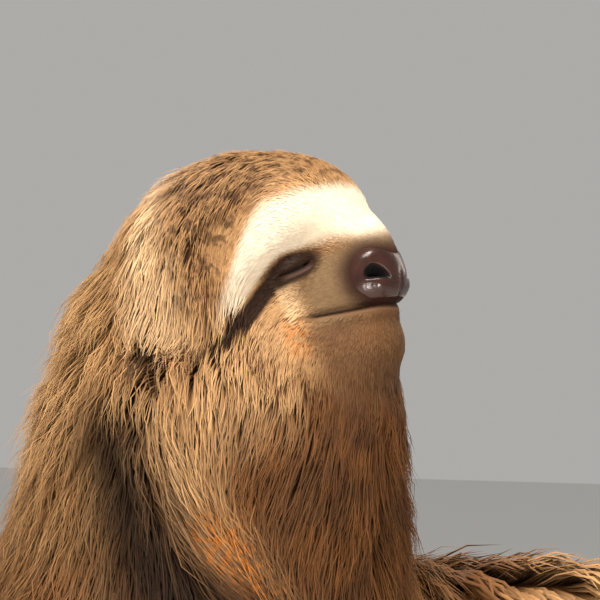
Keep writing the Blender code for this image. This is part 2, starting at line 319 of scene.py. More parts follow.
def plain_face(p):
    """Distance to the skin of the face without its folds, below zero inside it.

    The number in each join is how softly it is blended, in millimetres.
    """
    d = smooth_min(form(p, "skull"), form(p, "brow"), 6)
    d = smooth_min(d, form(p, "forehead"), 12)
    d = smooth_max(d, -form(p, "eye_hollow"), 7)
    d = smooth_max(d, -form(p, "cheek_hollow"), 8)
    upper = smooth_min(form(p, "muzzle"), form(p, "upper_lip"), 3)
    lower = smooth_min(form(p, "chin"), form(p, "lower_lip"), 3)
    d = smooth_min(d, form(p, "throat"), 12)
    d = smooth_min(d, smooth_min(upper, lower, 5), 5)
    d = smooth_min(d, form(p, "bridge"), 11)
    d = smooth_min(d, form(p, "nose"), 4)
    lids = np.linalg.norm(p - EYE, axis=1) - EYE_RADIUS - LID
    return smooth_min(d, lids, 3)


def slit_line(a):
    """Where the gap between the lids lies, up across them, at a place along them."""
    return -0.9 + 0.03 * a * a


def face_folds(p):
    """Raised lids, lips and folds, and the creases between them."""
    a, b, c = ((p - LIDS) @ EYE_AXES).T
    by_eye = ramp(-1, 2, c) * ramp(9.5, 6.5, np.abs(a))
    lid_rim = bump(1.5, 0.7, np.abs(b - slit_line(a)))
    upper_crease = bump(3.9, 0.8, b + 0.04 * a * a)
    lower_crease = bump(-4.2, 0.7, b - 0.04 * a * a)
    out = 0.35 * lid_rim * by_eye
    out -= 0.4 * upper_crease * by_eye
    out -= 0.3 * lower_crease * by_eye
    rise = above_mouth(p)
    by_mouth = ramp(28, 33, p[:, 0])
    out += by_mouth * (0.3 * bump(2.2, 1.2, rise) + 0.5 * bump(-2.0, 1.2, rise))
    out -= by_mouth * 1.5 * bump(0, 0.6, rise)
    return out


def open_eyes(local):
    """Draws the skin in behind the eye along the gap between the lids."""
    side = np.where(local[:, 1:2] < 0, -1, 1)
    p = one_side(local)
    a, b, c = ((p - LIDS) @ EYE_AXES).T
    height = SLIT_HEIGHT * np.sqrt(np.clip(1 - (a / SLIT_LENGTH) ** 2, 0, 1))
    height *= 1 - 0.4 * ramp(0, -SLIT_LENGTH, a)
    inside = ramp(height + SLIT_EDGE, height - SLIT_EDGE, np.abs(b - slit_line(a)))
    inside *= (c > 0) * (np.abs(a) < SLIT_LENGTH)
    sunk = EYE + unit(p - EYE) * (EYE_RADIUS - EYE_HOLLOW)
    moved = mix(p, sunk, inside[:, None])
    return moved * np.hstack((np.ones_like(side), side, np.ones_like(side)))


def face_slope(local, step=0.05):
    """The distance to the plain face, and the direction out of it."""
    d = plain_face(one_side(local))
    slope = np.empty_like(local)
    for k, direction in enumerate(np.eye(3)):
        slope[:, k] = (plain_face(one_side(local + step * direction)) - d) / step
    return d, slope


def onto_face(local):
    """Moves points along the form's slope onto the plain face."""
    for _ in range(6):
        d, slope = face_slope(local)
        length = np.maximum(np.linalg.norm(slope, axis=1), 0.5)
        local = local - slope * (d / length**2)[:, None]
    return local


def face_share(local):
    """1 on the face and the front of the skull, fading to 0 at the throat and the nape."""
    x, y, z = one_side(local).T
    front = ramp(-22, 2, x)
    above_throat = ramp(-52, -38, z + 0.25 * x)
    below_jaw = ramp(14, 30, y) * ramp(-8, -26, z)
    return front * above_throat * (1 - below_jaw)


def ball(subdivisions):
    """A unit sphere as a mesh."""
    return built(
        "ball", lambda work: bmesh.ops.create_icosphere(work, subdivisions=subdivisions, radius=1.0)
    )


def seen_from(start, rays, reach):
    """Where rays out of a place in the head come through the plain face, no further than reach."""
    near, far = np.zeros(len(rays)), np.full(len(rays), float(reach))
    for _ in range(18):
        half = (near + far) / 2
        outside = plain_face(one_side(start + rays * half[:, None])) > 0
        far = np.where(outside, half, far)
        near = np.where(outside, near, half)
    return start + rays * near[:, None]


def face_solid():
    """The plain face as a closed mesh."""
    mesh = ball(6)
    set_points(mesh, from_head(seen_from(FACE_CENTRE, points_of(mesh), FACE_REACH)))
    return mesh


def remeshed(name, meshes, smoothing):
    """Several meshes fused into one closed surface."""
    obj = add(name, joined(name, meshes))
    remesh = obj.modifiers.new("Fuse", "REMESH")
    remesh.mode = "VOXEL"
    remesh.voxel_size = SKIN_VOXEL
    soften = obj.modifiers.new("Soften", "SMOOTH")
    soften.factor = 0.5
    soften.iterations = smoothing
    return settled(obj)


def tree_of(mesh):
    """The mesh as a tree for finding its nearest places and where rays meet it."""
    return BVHTree.FromPolygons([v.co for v in mesh.vertices], [p.vertices for p in mesh.polygons])


def neighbours_mean(mesh, values, rounds):
    """Values averaged over the mesh's edges, a few times over."""
    a, b = read(mesh.edges, "vertices", 2, np.int32).T
    count = np.bincount(a, minlength=len(values)) + np.bincount(b, minlength=len(values))
    count = np.maximum(count, 1)
    wide = values.reshape(len(values), -1)
    for _ in range(rounds):
        total = np.empty_like(wide)
        for k in range(wide.shape[1]):
            total[:, k] = np.bincount(a, wide[b, k], len(wide)) + np.bincount(b, wide[a, k], len(wide))
        wide = 0.5 * wide + 0.5 * total / count[:, None]
    return wide.reshape(values.shape)


def inset_by_coat(mesh, outline):
    """Draws the outline in by the depth of the coat, which is less on a thin limb."""
    points, normals = points_of(mesh), normals_of(mesh)
    depth = np.empty(len(points))
    for i, (p, n) in enumerate(zip(points, normals)):
        hit = outline.ray_cast(Vector(p - n * MM), Vector(-n))[3]
        depth[i] = min(TRUNK_COAT, (hit or 0.02) * COAT_SHARE)
    local = to_head(points)
    away = np.linalg.norm(local - MUZZLE_FRONT, axis=1)
    depth = np.minimum(depth, mix(MUZZLE_COAT, TRUNK_COAT, ramp(45, 125, away)))
    depth += FACE_INSET * face_share(local)
    depth = neighbours_mean(mesh, depth, 12)
    set_points(mesh, points - normals * depth[:, None])


def refine(mesh, wanted):
    """Halves the edges inside the wanted places."""
    chosen = wanted(to_head(points_of(mesh)))
    work = bmesh.new()
    work.from_mesh(mesh)
    work.verts.ensure_lookup_table()
    edges = [e for e in work.edges if chosen[e.verts[0].index] and chosen[e.verts[1].index]]
    bmesh.ops.subdivide_edges(work, edges=edges, cuts=1, use_grid_fill=True)
    bmesh.ops.triangulate(work, faces=[f for f in work.faces if len(f.verts) > 4])
    work.to_mesh(mesh)
    work.free()


def soften_neck(mesh):
    """Smooths away the step where the head meets the neck."""
    points = points_of(mesh)
    local = to_head(points)
    near = ramp(120, 85, np.linalg.norm(local - (0, 0, -25), axis=1)) * (1 - face_share(local))
    set_points(mesh, mix(points, neighbours_mean(mesh, points, 30), near[:, None]))


def press_onto_face(mesh):
    """Moves the skin of the face onto the sculpted form."""
    local = to_head(points_of(mesh))
    share = face_share(local)
    near = share > 0
    moved = onto_face(local[near])
    local[near] = mix(local[near], moved, share[near, None])
    set_points(mesh, from_head(local))


def fold_face(mesh):
    """Raises the folds, lids and lips, and opens the gap between the lids."""
    local = to_head(points_of(mesh))
    near = face_share(local) > 0
    outward = unit(face_slope(local[near])[1])
    folds = face_folds(one_side(local[near])) - NOSTRIL_DEPTH * nostril(local[near])[0]
    folds -= 0.4 * ramp(0.7, 1.0, leather(one_side(local[near])))
    local[near] += outward * (face_share(local[near]) * folds)[:, None]
    set_points(mesh, from_head(open_eyes(local)))


def close_to_features(reach):
    """Picks the places less than reach from the lids, the lips and the nose."""

    def wanted(local):
        p = one_side(local)
        by_eye = np.linalg.norm(p - EYE, axis=1) < EYE_RADIUS + reach
        by_mouth = (np.abs(above_mouth(p)) < reach) & (p[:, 0] > 22) & (p[:, 1] < 26)
        by_nose = np.linalg.norm((p - NOSE) / (NOSE_RADII + reach / 2), axis=1) < 1
        return by_eye | by_mouth | by_nose

    return wanted


def front_of_face(local):
    return (face_share(local) > 0.3) & (local[:, 0] > 4) & (np.abs(local[:, 1]) < 42)


def make_skin():
    """The skin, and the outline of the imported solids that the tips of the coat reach."""
    filled = FLESH + ["nose", "eye_left", "eye_right"]  # the nose and eyes fill their sockets
    outline = remeshed("outline", [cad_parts[node].data for node in filled], 6)
    tree = tree_of(outline.data)
    inset_by_coat(outline.data, tree)
    skin = remeshed("skin", (outline.data, face_solid()), 3)
    bpy.data.objects.remove(outline)
    mesh = skin.data
    soften_neck(mesh)
    press_onto_face(mesh)
    soften_neck(mesh)
    for wanted in (front_of_face, close_to_features(5.5), close_to_features(2.2)):
        refine(mesh, wanted)
        press_onto_face(mesh)
    fold_face(mesh)
    mesh.shade_smooth()
    return skin, tree


# ---- markings

EAR = np.array((-10.5, 41.0, -15.5))  # where the opening of the ear shows through the coat
# Behind the ear the coat parts along a line that runs forward as it falls. In millimetres: a place
# and a height on it, its slope, and the height below which it bends further and for how long
PARTING_PLACE, PARTING_HEIGHT, PARTING_SLOPE = 55, 342, 0.26
BEND_HEIGHT, BEND_LENGTH, BEND = 326, 27, 0.008
MARK_FIELDS = {
    "marks_face": ("cream", "dark", "muzzle", "lip"),
    "marks_coat": ("rust", "pale", "throat", "crown"),
    # gap is painted shade in the parting on the neck
    "marks_bare": ("bare", "lid", "gap", "chin"),
}


def round_head(p):
    """The bearing of a place round the head in degrees, 0 in front and 90 at the side."""
    return np.degrees(np.arctan2(p[:, 1], p[:, 0] - 5))


def stripe_height(bearing):
    """The middle of the dark stripe, which falls from the eye towards the ear."""
    past_eye = np.clip(bearing - 48, -10, 70)
    return -4.3 - 0.38 * past_eye + 0.0021 * past_eye**2


def at_ear(p):
    """Distance from the opening of the ear, which is longer than it is wide."""
    return np.linalg.norm((p - EAR) * (1, 0.6, 0.75), axis=1)


def under_cheek(p):
    """The light patch between the cheek and the throat."""
    z, bearing = p[:, 2], round_head(p)
    return ramp(-16, -26, z) * ramp(-56, -30, z) * ramp(52, 64, bearing) * ramp(114, 94, bearing)


def face_marks(p):
    """Shares of the head's own markings, given on one side of it."""
    x, z = p[:, 0], p[:, 2]
    bearing = round_head(p)
    behind_eye = ramp(44, 50, bearing)

    # the cream band over the brow, between a lower and an upper edge that fall towards the side
    top = 16.3 - 24 * ramp(40, 84, bearing)
    low = 1.5 - 6 * ramp(20, 2, bearing) - 11 * ramp(38, 80, bearing)
    soft = 1.1 + 2.6 * ramp(32, 16, bearing)
    cream = ramp(low - soft, low + soft, z) * ramp(top + 3.0, top - 2.2, z) * ramp(84, 72, bearing)
    cream *= ramp(0, 8, x)
    crown = ramp(top + 1, top + 8, z) * ramp(-18, 8, x)

    # the dark stripe, the ring round the eye it starts from, which also carries painted shade of the brow
    # over the eye, and the ear
    above_stripe = z - stripe_height(bearing)
    half_width = 3.1 - 1.1 * ramp(60, 110, bearing)
    stripe = ramp(half_width + 0.9, half_width - 0.9, np.abs(above_stripe))
    stripe *= behind_eye * ramp(103, 86, bearing)
    a, b, c = ((p - LIDS) @ EYE_AXES).T
    eye_ring_and_shade = ramp(1.3, 0.8, np.hypot((a + 1.6) / 9.6, (b - 0.3) / 3.9)) * ramp(-2, 1, c)
    ear = ramp(6.4, 4.4, at_ear(p))
    lid = bump(-1.5, 0.5, b - slit_line(a)) * ramp(6.0, 3.0, np.abs(a + 0.5)) * ramp(0, 3, c)

    # the short brown coat of the muzzle and the chin
    muzzle = ramp(46, 32, bearing) * ramp(1.5, -5, z) * ramp(-30, -20, z)
    chin = ramp(54, 34, bearing) * ramp(-20, -26, z) * ramp(-60, -42, z)

    # the bare skin of the nose and the mouth
    rise = above_mouth(p)
    lip = bump(-1.0, 0.5, rise) * ramp(31, 38, x)
    nose_ring = ramp(1.7, 1.16, from_nose(p)) * ramp(-0.4, 0.2, rise)
    mouth = bump(0.1, 0.7, rise) * ramp(29, 32, x)
    upper_lip = ramp(-0.3, 0.3, rise) * ramp(6.0, 3.0, rise) * ramp(39, 45, x)

    # light and orange patches below the stripe
    cheek = ramp(-1.8, -4.0, above_stripe) * behind_eye * ramp(112, 84, bearing) * ramp(-40, -22, z)
    under_eye = ramp(-4.5, -6.5, z) * ramp(34, 44, bearing) * ramp(52, 46, bearing) * ramp(-22, -16, z)
    rust = 0.55 * ramp(1.0, 0.1, np.hypot((bearing - 48) / 13, (z + 23) / 11))
    return {
        "cream": cream,
        "crown": crown,
        "dark": np.maximum.reduce((stripe, eye_ring_and_shade, 0.9 * ear)),
        "lid": lid,
        "muzzle": muzzle,
        "chin": chin,
        "lip": lip,
        "bare": np.maximum.reduce((nose_ring, 0.9 * upper_lip, mouth)),
        "pale": np.maximum(0.12 * np.maximum(cheek, under_cheek(p)), 0.8 * under_eye),
        "rust": rust,
    }


def light_side(p):
    """The light coat between the stripe and the nape."""
    bearing = round_head(p)
    above_stripe = p[:, 2] - stripe_height(bearing)
    side = ramp(12, -6, p[:, 0]) * ramp(-24, -2, p[:, 2])
    return side * ramp(118, 100, bearing) * ramp(0, -5, -above_stripe)


def behind_parting(points):
    """Millimetres behind the line on the side of the neck where the coat parts."""
    height = points[:, 2] / MM
    bend = BEND * np.clip(BEND_HEIGHT - height, 0, BEND_LENGTH) ** 2
    return points[:, 1] / MM - PARTING_PLACE + PARTING_SLOPE * (PARTING_HEIGHT - height) + bend


def markings(points):
    """How much of each colour the coat has at a place: a table of named shares from 0 to 1."""
    p = one_side(to_head(points))
    on_head = ramp(75, 58, np.linalg.norm(p - (0, 0, -6), axis=1))
    marks = {name: share * on_head for name, share in face_marks(p).items()}

    # the throat, whose dark brown is partly its own colour and partly painted shade under the chin, and the
    # brown body, with lengths in millimetres; the raised arm stays lighter
    behind = behind_parting(points)
    height = points[:, 2] / MM
    below_chin = ramp(-10, -42, p[:, 2] + 0.35 * p[:, 0])
    throat = ramp(-12, -28, behind) * np.maximum(below_chin * (1 - 0.8 * under_cheek(p)), 1 - on_head)
    brown_body = ramp(364, 296, height + np.clip(0.15 * behind, 0, 12))
    brown_body *= mix(0.9, 0.7, ramp(290, 190, height))
    ahead = (HEAD_MIDDLE[1] - points[:, 1]) / MM
    on_arm = ramp(50, 66, ahead)
    marks["throat"] = np.maximum(throat * ramp(230, 290, height), brown_body) * mix(1, 0.2, on_arm)

    # painted shade along the parting, on the side that faces the camera only, the light edge in front of it
    # and the orange patch on that edge
    on_neck = ramp(364, 346, height) * ramp(240, 290, height)
    gap = bump(0, 1, (behind - 6.5) / (11 + 6 * ramp(322, 300, height))) * on_neck
    marks["gap"] = gap * (points[:, 0] < HEAD_MIDDLE[0])
    ruff = bump(-8, 6, behind) * on_neck * ramp(300, 316, height)
    marks["pale"] = np.maximum.reduce((marks["pale"], light_side(p), 0.15 * ruff))
    orange = ramp(21, 6, np.hypot(2 * (behind + 13), height - 316))
    marks["rust"] = np.maximum(marks["rust"], orange)
    return marks


def set_markings(mesh, marks):
    """Keeps the markings with the vertices, four of them to a field."""
    for field, names in MARK_FIELDS.items():
        set_field(mesh, field, np.stack([marks[name] for name in names], axis=1))


# ---- lie of the coat

COAT_SOURCE = (50, 0, -8)  # on the head the coat runs away from here
COAT_HANGS = (46, 0, -8)  # and hangs more the further it is from here
HEAD_TO_NECK = (0.362, 0.338)  # heights in metres between which one lie turns into the other
NECK_TO_TRUNK = (0.30, 0.25)
# How far the hair leans back (or forward, below zero) as it falls on the side of the neck, at
# places given in millimetres behind the parting
PARTED = ((-66, 0.45), (-38, 0.75), (-24, 0.2), (-8, -0.6), (2, -0.35), (7, 0.1), (16, 0.0), (70, -0.1))
LIMB_CHAINS = (
    ("upper_arm_{}", "forearm_{}", "hand_{}", "hand_{}_claw_2"),
    ("thigh_{}", "shin_{}", "foot_{}", "foot_{}_claw_2"),
)


def limb_runs():
    """The way from the middle of each piece of a limb to the middle of the next one out."""
    runs = {}
    for chain in LIMB_CHAINS:
        for side in ("left", "right"):
            names = [name.format(side) for name in chain]
            for here, after in zip(names, names[1:]):
                runs[here] = unit(middle(after) - middle(here))
    return runs


def node_of_points(points):
    """The flesh solid nearest to each point, as an index in FLESH."""
    meshes = [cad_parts[node].data for node in FLESH]
    owner = np.repeat(np.arange(len(FLESH)), [len(mesh.polygons) for mesh in meshes])
    whole = joined("flesh", meshes)
    tree = tree_of(whole)
    bpy.data.meshes.remove(whole)
    return np.array([owner[tree.find_nearest(Vector(p))[2]] for p in points])


def lie_of_coat(points, normals, nodes):
    """The way the hair runs over the skin, before it is smoothed."""
    local = to_head(points)
    outward = unit(local - COAT_SOURCE) @ HEAD_AXES.T
    falling = ramp(24, 58, np.linalg.norm(local - COAT_HANGS, axis=1))
    flow = outward * mix(1.0, 0.22, falling)[:, None] + (falling * 1.3)[:, None] * (0, -0.22, -1)

    side = np.sign(points[:, 0] - HEAD_MIDDLE[0])
    ahead = ramp(-0.2, 0.7, -normals[:, 1])
    down = np.full(len(points), -1.0)
    height = points[:, 2]
    behind = behind_parting(points)
    swept = bump(0.298, 0.014, height) * ramp(-16, -36, behind)
    curl = bump(-12, 12, behind) * ramp(0.332, 0.312, height)
    lean = np.interp(behind, *np.transpose(PARTED))
    lean += 2.2 * swept - 1.1 * curl
    neck = np.stack((0.15 * side * ahead, lean, down), axis=1)
    flow = mix(flow, neck, ramp(*HEAD_TO_NECK, height)[:, None])
    trunk = np.stack((0.5 * side * ahead, 0.5 * ahead, down), axis=1)
    flow = mix(flow, trunk, ramp(*NECK_TO_TRUNK, height)[:, None])
    runs = limb_runs()
    for i, node in enumerate(FLESH):
        here = nodes == i
        if node in runs:
            droop = 0.15 if node.startswith(("hand", "foot")) else 0.45
            flow[here] = runs[node] + np.array((0, 0, -droop))
        if node == "tail":
            flow[here] = (0, 1, -0.3)
    return flow


def along_skin(vectors, normals):
    """The directions laid flat on the skin."""
    return unit(vectors - normals * np.sum(vectors * normals, axis=1)[:, None])


# Lengths of hair in millimetres
LENGTHS = {"chest": 44, "belly": 44, "hips": 40, "tail": 22}
LENGTHS |= {"upper_arm": 36, "forearm": 30, "hand": 13, "thigh": 34, "shin": 26, "foot": 12}
AT_MUZZLE, FAR_FROM_MUZZLE, LONGEST_ON_NECK, LONGEST_ON_BROW, BY_EYE = 2.3, 30.0, 38, 5.5, 2.6


def hair_length(points, nodes):
    """Length of the hair in millimetres at each point of the skin."""
    p = one_side(to_head(points))
    z = p[:, 2]
    away = np.linalg.norm(p - MUZZLE_FRONT, axis=1)
    length = mix(AT_MUZZLE, FAR_FROM_MUZZLE, ramp(20, 95, away)) * mix(0.6, 1.0, ramp(10, 18, away))
    brow = ramp(-6, 2, z) * ramp(22, 17, z) * ramp(82, 70, round_head(p))
    length = mix(length, np.minimum(length, LONGEST_ON_BROW), brow)
    by_eye = ramp(12, 8, np.linalg.norm((p - EYE) * (1, 1, 1.3), axis=1))
    length = mix(length, BY_EYE, by_eye)
    length += 12 * ramp(-34, -60, z)
    length = np.minimum(length, LONGEST_ON_NECK)
    for i, node in enumerate(FLESH):
        for part, size in LENGTHS.items():
            if node.startswith(part):
                length[nodes == i] = size
    return length


# ---- coat of solid mesh hair

GUIDE_STEPS = 6  # steps that a guide hair takes over the skin
SMOOTHING = 14  # rounds of averaging for the lie and the length of the coat
FLATNESS = 0.10  # the most that short hair stands off the skin, as a share of its length
ROOT_DEPTH = 0.4 * MM  # how far the roots reach into the skin
LEAST_AGREEMENT = 0.4  # between the way a hair's skin faces and its guide's, or it is left out
# What stays clear of hair: the nose from this share of leather on, and in millimetres the lips from
# below to above the mouth's line, forward of a place, and round the opening of the ear
CLEAR_LEATHER, CLEAR_LIPS, LIPS_FROM, CLEAR_EAR = 0.72, (-1.0, 0.6), 29.5, 3.2
# How much further the coat stands out at the back of the head and neck, by height in millimetres
NAPE = ((320, 0.65), (334, 0.65), (354, 1.0), (363, 1.25), (384, 1.36), (395, 1.5), (403, 1.45), (417, 1.0))


@dataclass
class Kind:
    """One kind of hair. Lengths and widths are in millimetres."""

    name: str
    segments: int
    width: float
    thickness: float
    guides: float  # guide hairs to each hair
    clump: float  # how far the tips draw together
    spread: float  # how far the tips stray sideways, as a share of the length
    wave: float  # how far it waves, as a share of the length
    stray: float  # share of the hairs that stand out
    root_shade: float  # how much darker the hair is at its root
    own: float  # how far a hair is shaded by its own form and not the skin's under it
    usual_length: float  # a shorter hair is also finer


KINDS = (
    Kind("coat_face", 2, 0.30, 0.06, 0.10, 0.10, 0.06, 0.02, 0.0, 0.1, 0.2, 3),
    Kind("coat_head", 3, 0.50, 0.18, 0.05, 0.45, 0.10, 0.05, 0.008, 0.55, 0.45, 18),
    Kind("coat_body", 3, 1.8, 0.55, 0.12, 0.45, 0.08, 0.04, 0.0, 0.7, 0.45, 42),
)


class Surface:
    """The skin as arrays, with what the coat needs at each vertex."""

    def __init__(self, mesh, outline):
        self.points = points_of(mesh)
        self.normals = unit(neighbours_mean(mesh, normals_of(mesh), 3))
        self.nodes = node_of_points(self.points)
        self.depth = self.coat_depth(mesh, outline)
        flow = along_skin(lie_of_coat(self.points, self.normals, self.nodes), self.normals)
        self.flow = along_skin(neighbours_mean(mesh, flow, SMOOTHING), self.normals)
        self.length = neighbours_mean(mesh, hair_length(self.points, self.nodes), SMOOTHING)
        mesh.calc_loop_triangles()
        self.tris = read(mesh.loop_triangles, "vertices", 3, np.int32)
        places = read(mesh.uv_layers["OFBake"].data, "uv", 2)
        self.places = places[read(mesh.loop_triangles, "loops", 3, np.int32)]
        a, b, c = (self.points[self.tris[:, k]] for k in range(3))
        self.areas = np.linalg.norm(np.cross(b - a, c - a), axis=1) / 2 / MM**2
        self.tree = BVHTree.FromPolygons(
            [Vector(p) for p in self.points], [tuple(t) for t in self.tris.tolist()]
        )

    def coat_depth(self, mesh, outline):
        """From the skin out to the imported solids, which end at the tips of the coat."""
        depth = np.empty(len(self.points))
        for i, (p, n) in enumerate(zip(self.points, self.normals)):
            hit = outline.ray_cast(Vector(p), Vector(n), 0.03)[3]
            depth[i] = hit if hit is not None else 0.0005
        return neighbours_mean(mesh, depth, 4)

    def sample(self, density):
        """Root places drawn at random, density (per square millimetre) being given per triangle."""
        wanted = density * self.areas
        counts = np.floor(wanted + random.random(len(wanted))).astype(int)
        chosen = np.repeat(np.arange(len(self.tris)), counts)
        r = np.sqrt(random.random(len(chosen)))
        s = random.random(len(chosen))
        return chosen, np.stack((1 - r, r * (1 - s), r * s), axis=1)

    def at(self, chosen, weights, values):
        """The vertices' values at places inside the chosen triangles."""
        return np.einsum("ij,ij...->i...", weights, values[self.tris[chosen]])

    def places_at(self, chosen, weights):
        """The same places on the bake map."""
        return np.einsum("ij,ijk->ik", weights, self.places[chosen])


def march(surface, roots, lengths, lifts):
    """Guide hairs that follow the lie of the coat, with their feet on the skin and its normals."""
    feet, path, facing = [], [], []
    foot = roots.copy()
    step = lengths / GUIDE_STEPS * MM
    previous = None
    for i in range(GUIDE_STEPS + 1):
        found = [surface.tree.find_nearest(Vector(p)) for p in foot]
        foot = np.array([f[0] for f in found])
        corners = surface.tris[np.array([f[2] for f in found])]
        normal = unit(surface.normals[corners].mean(axis=1))
        depth = surface.depth[corners].mean(axis=1)
        flow = surface.flow[corners].mean(axis=1)
        if previous is not None:
            flow = mix(previous, flow, 0.75)
        flow = along_skin(flow, normal)
        t = i / GUIDE_STEPS
        flat = np.minimum(depth, lengths * FLATNESS * MM)
        height = mix(flat, depth, ramp(6, 14, lengths))
        height = height * lifts * (0.25 * t + 0.75 * (1 - (1 - t) ** 2.3)) * (1.18 - 0.3 * t**3)
        feet.append(foot)
        path.append(foot + normal * height[:, None])
        facing.append(normal)
        foot = foot + flow * step[:, None]
        previous = flow
    return np.array(feet), np.array(path), np.array(facing)


def nearest(roots, others):
    """Index of the nearest of others to each root."""
    tree = KDTree(len(others))
    for i, p in enumerate(others):
        tree.insert(p, i)
    tree.balance()
    return np.array([tree.find(p)[1] for p in roots])


def at_share(path, t):
    """What each guide has at the share t of its length, t being one number per guide."""
    spot = t * GUIDE_STEPS
    low = np.minimum(spot.astype(int), GUIDE_STEPS - 1)
    part = (spot - low)[:, None]
    index = np.arange(path.shape[1])
    return path[low, index] * (1 - part) + path[low + 1, index] * part


def guide_hairs(surface, kind, density):
    """Where the guides of one kind of hair start, how long they are, and how they run."""
    tri, w = surface.sample(density * kind.guides)
    starts = surface.at(tri, w, surface.points)
    lengths = surface.at(tri, w, surface.length) * random.uniform(0.8, 1.15, len(starts))
    lifts = random.uniform(0.9, 1.08, len(starts)) * mix(1, 0.82, ramp(20, 36, lengths))
    at_back = ramp(6, -12, to_head(starts)[:, 0]) * ramp(290, 320, starts[:, 2] / MM)
    lifts *= mix(1, np.interp(starts[:, 2] / MM, *np.transpose(NAPE)), at_back)
    return starts, lengths, march(surface, starts, lengths, lifts)


def grow(surface, kind, density):
    """One kind of hair over the skin, density being in hairs per square millimetre per triangle."""
    starts, lengths, runs = guide_hairs(surface, kind, density)
    tri, w = surface.sample(density)
    roots = surface.at(tri, w, surface.points)
    count = len(roots)
    guide = nearest(roots, starts)
    feet, path, facing = (run[:, guide] for run in runs)

    # how each hair differs from its guide
    own_length = random.uniform(0.62, 1.0, count)
    sway = random.normal(0, kind.spread, (count, 3))
    wave = random.normal(0, kind.wave, (count, 3))
    phase = random.uniform(0, 2 * math.pi, count)
    pull = kind.clump * random.uniform(0.55, 1.0, count)
    lift = random.uniform(-0.3, 0.06, count)
    standing = random.random(count) < kind.stray
    lift = np.where(standing, random.uniform(0.15, 0.6, count), lift)
    length = (lengths[guide] * own_length * MM)[:, None]
    scale = np.clip(lengths[guide] / kind.usual_length, 0.5, 1.1)
    depth = np.minimum(surface.at(tri, w, surface.depth), lengths[guide] * 0.3 * MM)

    rows, ups = [], []
    for t in np.arange(kind.segments + 1) / kind.segments:
        on_guide = at_share(path, t * own_length)
        normal = unit(at_share(facing, t * own_length))
        own = roots + on_guide - path[0]
        clumped = on_guide + (own - on_guide) * 0.12
        place = mix(own, clumped, (pull * t**1.3)[:, None])
        place = place + sway * length * t**1.5 * 0.6
        place += wave * length * t * np.sin(phase + 4.5 * t)[:, None]
        place += normal * (lift * depth * t)[:, None]
        rows.append(place)
        ups.append(normal)
    rows, ups = np.array(rows), np.array(ups)
    over_floor = random.uniform(0.6, 3.0, count) * MM
    rows[:, :, 2] = np.maximum(rows[:, :, 2], over_floor)
    rows[0] -= ups[0] * ROOT_DEPTH
    hair = {
        "rows": rows,
        "ups": ups,
        "width": kind.width * random.uniform(0.75, 1.2, count) * scale * MM,
        "thickness": kind.thickness * scale * MM,
        "lock": random.random(len(starts))[guide],
        "strand": random.random(count),
        "place": surface.places_at(tri, w),
        "marks_at": roots + at_share(feet, 0.45 * own_length) - feet[0],
        "node": surface.nodes[surface.tris[tri, 0]],
    }
    agreement = np.sum(unit(surface.at(tri, w, surface.normals)) * facing[0], axis=1)
    tip_feet = roots + at_share(feet, own_length) - feet[0]
    kept = (agreement > LEAST_AGREEMENT) & ~crosses_features(roots, tip_feet)
    return {key: value[:, kept] if value.ndim == 3 else value[kept] for key, value in hair.items()}


def crosses_features(roots, tips):
    """Whether a hair would lie over the lips, the lids, the nose or the opening of the ear."""
    root, tip = one_side(to_head(roots)), one_side(to_head(tips))
    over = (above_mouth(root) > 0) & (above_mouth(tip) < 0) & (root[:, 0] > 28)
    for p in (root, mix(root, tip, 0.5), tip):
        a, b, c = ((p - LIDS) @ EYE_AXES).T
        over |= (np.hypot((a + 0.4) / 6.4, (b + 1.5 - 0.03 * a * a) / 1.6) < 1) & (c > 0)
        over |= leather(p) > CLEAR_LEATHER
        rise = above_mouth(p)
        over |= (rise > CLEAR_LIPS[0]) & (rise < CLEAR_LIPS[1]) & (p[:, 0] > LIPS_FROM)
    for t in np.linspace(0, 1, 5):
        over |= at_ear(mix(root, tip, t)) < CLEAR_EAR
    return over


PROFILE = {2: (0.85, 1.0), 3: (0.75, 1.0, 0.72)}  # width at each row, by the number of segments
PATCH = 0.003  # how wide each hair's patch of the bake map is


def tuft_faces(segments):
    """Triangles of one closed tuft: rows of three corners that end in one point."""
    faces = [(0, 1, 2)]
    for i in range(segments - 1):
        for k in range(3):
            a, b = i * 3 + k, i * 3 + (k + 1) % 3
            faces += [(a, b + 3, b), (a, a + 3, b + 3)]
    last = (segments - 1) * 3
    return np.array(faces + [(last + k, last + 3, last + (k + 1) % 3) for k in range(3)])


